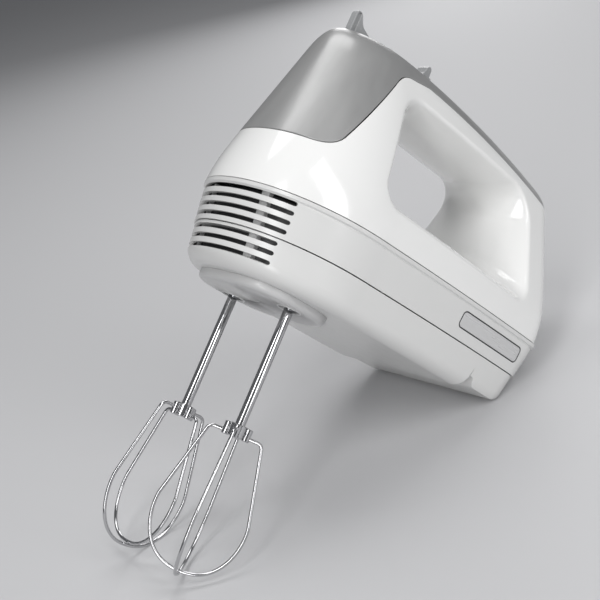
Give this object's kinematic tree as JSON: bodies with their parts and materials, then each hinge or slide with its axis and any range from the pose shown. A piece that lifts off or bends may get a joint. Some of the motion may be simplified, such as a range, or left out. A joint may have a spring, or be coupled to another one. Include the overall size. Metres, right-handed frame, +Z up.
{
  "type": "hand mixer",
  "caption": "Handheld electric kitchen mixer with wire whisk beaters, loop handle, release lever and speed slider, standing on its beaters and heel.",
  "frame": {"origin": "centre of the resting mixer's box, on the floor plane that its beater cages and its heel facet touch", "axes": "+Z up, +X from the beaters towards the rear wall and handle end, +Y across the casing towards the right-hand beater"},
  "size_m": [0.2991, 0.109, 0.2094],
  "materials": {
    "white_gloss": "glossy white moulded plastic",
    "silver_satin": "satin silver lacquer on plastic",
    "grey_satin": "satin off-white moulded plastic",
    "pale_grey": "satin pale grey moulded plastic",
    "badge_silver": "satin silver inlay",
    "rubber_dark": "black flexible bushing",
    "steel": "plain bright steel",
    "cast_alloy": "die-cast alloy",
    "brass": "sintered or stamped brass",
    "lamination": "stacked steel laminations",
    "copper": "enamelled copper",
    "carbon": "pressed carbon",
    "dark_plastic": "black moulded plastic",
    "nylon": "natural nylon",
    "chrome": "polished chrome plate",
    "control_grey": "satin light grey moulded plastic"
  },
  "bodies": {
    "casing": {"upper_shell": "white_gloss", "top_cover": "silver_satin", "mid_band": "grey_satin", "base_shell": "grey_satin", "spindle_plate": "pale_grey", "vent_baffle": "pale_grey", "side_badge": "badge_silver", "cord_gland": "rubber_dark", "housing_screws": "steel", "gear_frame": "cast_alloy", "left_bushing": "brass", "right_bushing": "brass", "front_bearing": "brass", "motor_bracket": "cast_alloy", "rear_bearing": "brass", "motor_bolts": "steel", "motor_stator": "lamination", "field_coils": "copper", "brush_holders": "brass", "carbon_brushes": "carbon", "brush_springs": "steel", "speed_switch": "dark_plastic", "switch_contacts": "brass", "eject_spring": "steel"},
    "armature": {"armature_shaft": "steel", "worm": "steel", "armature_core": "lamination", "armature_windings": "copper", "commutator": "copper", "cooling_fan": "nylon"},
    "left_drive": {"left_spindle": "steel", "left_gear": "nylon", "left_clip": "steel"},
    "right_drive": {"right_spindle": "steel", "right_gear": "nylon", "right_clip": "steel"},
    "release": {"eject_lever": "control_grey", "eject_yoke": "steel"},
    "left_beater": {"left_beater_shaft": "chrome", "left_collar": "chrome", "left_wire_a": "chrome", "left_wire_b": "chrome"},
    "right_beater": {"right_beater_shaft": "chrome", "right_collar": "chrome", "right_wire_a": "chrome", "right_wire_b": "chrome"},
    "speed_control": {"speed_slider": "control_grey", "slider_contact": "copper"}
  },
  "joints": [
    {"name": "armature_spin", "type": "hinge", "parent": "casing", "child": "armature", "pos_m": [-0.01584, 0, 0.12234], "axis": [0.6688, 0, -0.7435], "continuous": true},
    {"name": "left_spin", "type": "hinge", "parent": "casing", "child": "left_drive", "pos_m": [-0.03071, -0.022, 0.10896], "axis": [0.7435, 0, 0.6688], "continuous": true},
    {"name": "right_spin", "type": "hinge", "parent": "casing", "child": "right_drive", "pos_m": [-0.03071, 0.022, 0.10896], "axis": [0.7435, 0, 0.6688], "continuous": true},
    {"name": "eject_press", "type": "slide", "parent": "casing", "child": "release", "axis": [-0.7435, 0, -0.6688], "range_m": [0, 0.009], "stiffness_N_per_m": 600, "springref_m": -0.004, "deforming": ["eject_spring"]},
    {"name": "left_beater_slide", "type": "slide", "parent": "left_drive", "child": "left_beater", "axis": [-0.7435, 0, -0.6688], "range_m": [0, 0.009]},
    {"name": "right_beater_slide", "type": "slide", "parent": "right_drive", "child": "right_beater", "axis": [-0.7435, 0, -0.6688], "range_m": [0, 0.009]},
    {"name": "speed_slide", "type": "slide", "parent": "casing", "child": "speed_control", "axis": [-0.6688, 0, 0.7435], "range_m": [0, 0.024]}
  ],
  "couplings": [
    {"joint": "left_spin", "follows": "armature_spin", "ratio": 0.055556},
    {"joint": "right_spin", "follows": "armature_spin", "ratio": -0.055556},
    {"joint": "left_beater_slide", "follows": "eject_press", "ratio": 1},
    {"joint": "right_beater_slide", "follows": "eject_press", "ratio": 1}
  ]
}
